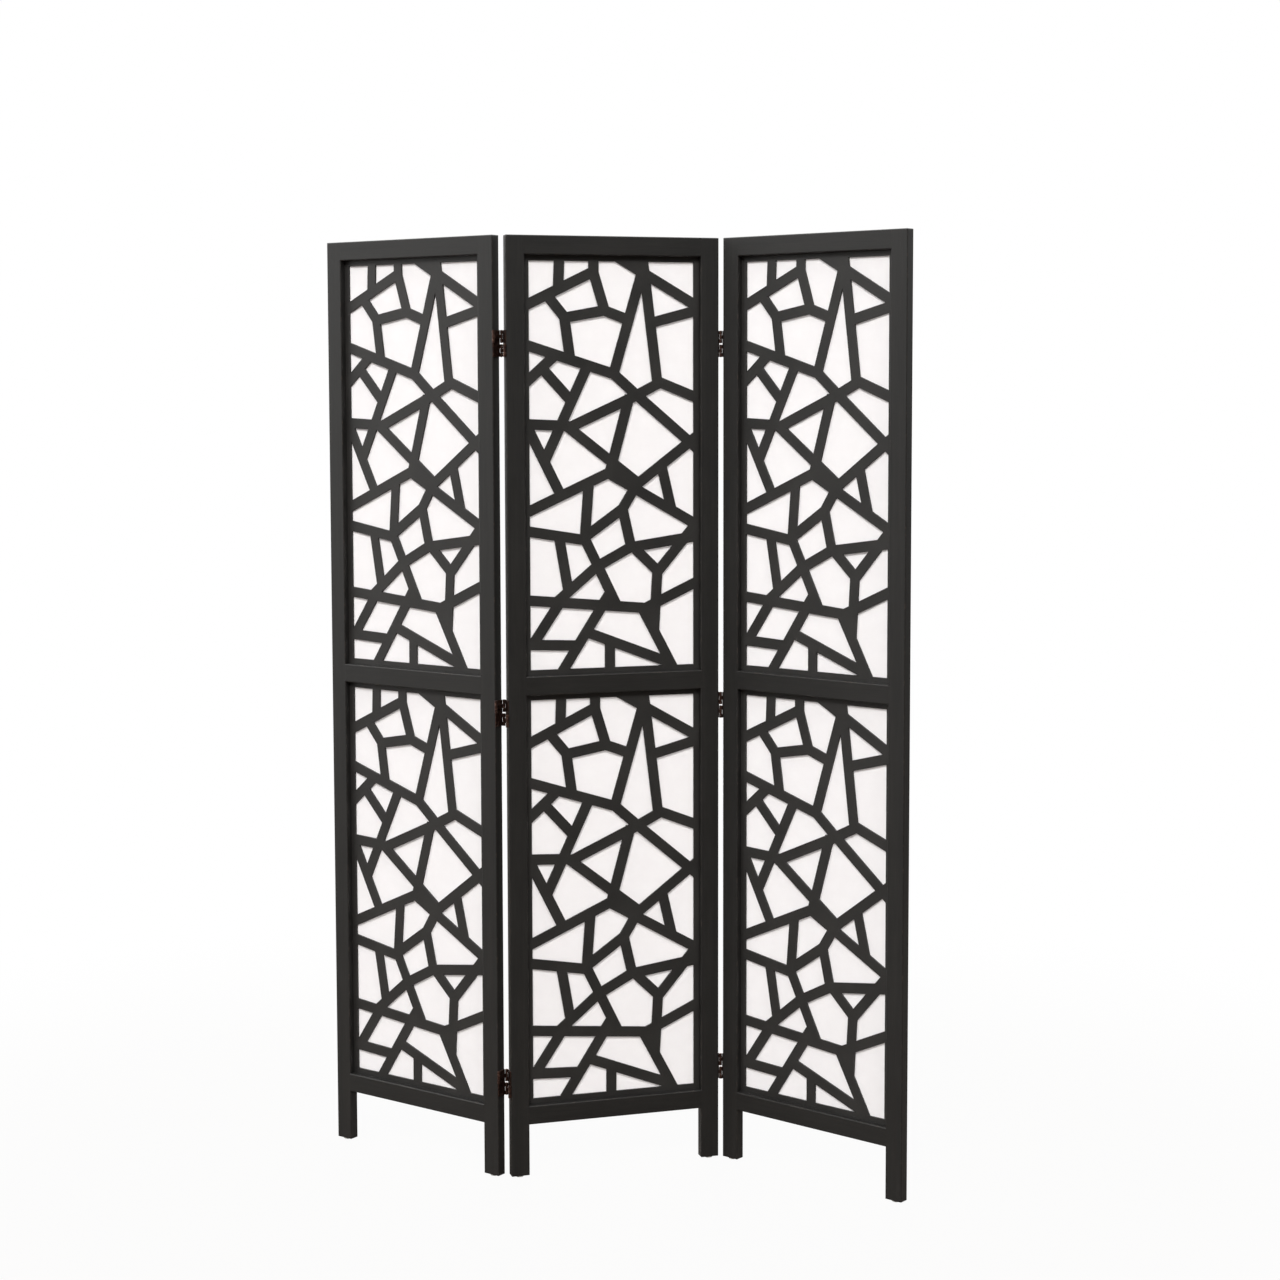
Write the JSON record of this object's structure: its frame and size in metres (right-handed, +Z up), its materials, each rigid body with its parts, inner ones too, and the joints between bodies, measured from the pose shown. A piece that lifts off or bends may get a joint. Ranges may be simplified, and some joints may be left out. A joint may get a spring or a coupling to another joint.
{
  "type": "folding screen",
  "caption": "Folding screen of hinged black panels with cracked-ice lattice over white sheets, standing in a zigzag.",
  "frame": {"origin": "middle of the bounding box in plan, on the floor", "axes": "+Z up, +X to the right seen from the front, +Y from the front to the back; the camera of the picture looks along +Y"},
  "size_m": [1.1078, 0.4144, 1.8],
  "materials": {
    "black_wood": "satin black stain and lacquer over fine straight grain",
    "black_board": "satin black lacquer on cut fibreboard",
    "white_sheet": "matt white nonwoven sheet, slightly translucent",
    "antique_copper": "antique copper plating, worn bright on the edges",
    "dowel_wood": "plain birch, unseen",
    "glide_plastic": "pale grey moulded plastic"
  },
  "bodies": {
    "mid_panel": {"mid_left_stile": "black_wood", "mid_right_stile": "black_wood", "mid_top_rail": "black_wood", "mid_mid_rail": "black_wood", "mid_low_rail": "black_wood", "mid_up_lattice": "black_board", "mid_low_lattice": "black_board", "mid_up_sheet": "white_sheet", "mid_low_sheet": "white_sheet", "mid_up_beads": "black_wood", "mid_low_beads": "black_wood", "mid_dowels": "dowel_wood", "mid_glides": "glide_plastic", "mid_left_leaves": "antique_copper", "mid_right_leaves": "antique_copper", "mid_left_pins": "antique_copper", "mid_right_pins": "antique_copper", "mid_left_links": "antique_copper", "mid_right_links": "antique_copper", "mid_screws": "antique_copper"},
    "left_panel": {"left_free_stile": "black_wood", "left_hinge_stile": "black_wood", "left_top_rail": "black_wood", "left_mid_rail": "black_wood", "left_low_rail": "black_wood", "left_up_lattice": "black_board", "left_low_lattice": "black_board", "left_up_sheet": "white_sheet", "left_low_sheet": "white_sheet", "left_up_beads": "black_wood", "left_low_beads": "black_wood", "left_dowels": "dowel_wood", "left_glides": "glide_plastic", "left_leaves": "antique_copper", "left_pins": "antique_copper", "left_links": "antique_copper", "left_screws": "antique_copper"},
    "right_panel": {"right_hinge_stile": "black_wood", "right_free_stile": "black_wood", "right_top_rail": "black_wood", "right_mid_rail": "black_wood", "right_low_rail": "black_wood", "right_up_lattice": "black_board", "right_low_lattice": "black_board", "right_up_sheet": "white_sheet", "right_low_sheet": "white_sheet", "right_up_beads": "black_wood", "right_low_beads": "black_wood", "right_dowels": "dowel_wood", "right_glides": "glide_plastic", "right_leaves": "antique_copper", "right_pins": "antique_copper", "right_links": "antique_copper", "right_screws": "antique_copper"}
  },
  "joints": [
    {"name": "left_fold", "type": "hinge", "parent": "mid_panel", "child": "left_panel", "pos_m": [-0.1992, -0.03949, 0.9], "axis": [0, 0, 1], "range_deg": [-127, 53]},
    {"name": "right_fold", "type": "hinge", "parent": "mid_panel", "child": "right_panel", "pos_m": [0.21623, 0.06284, 0.9], "axis": [0, 0, 1], "range_deg": [-123, 57]}
  ]
}
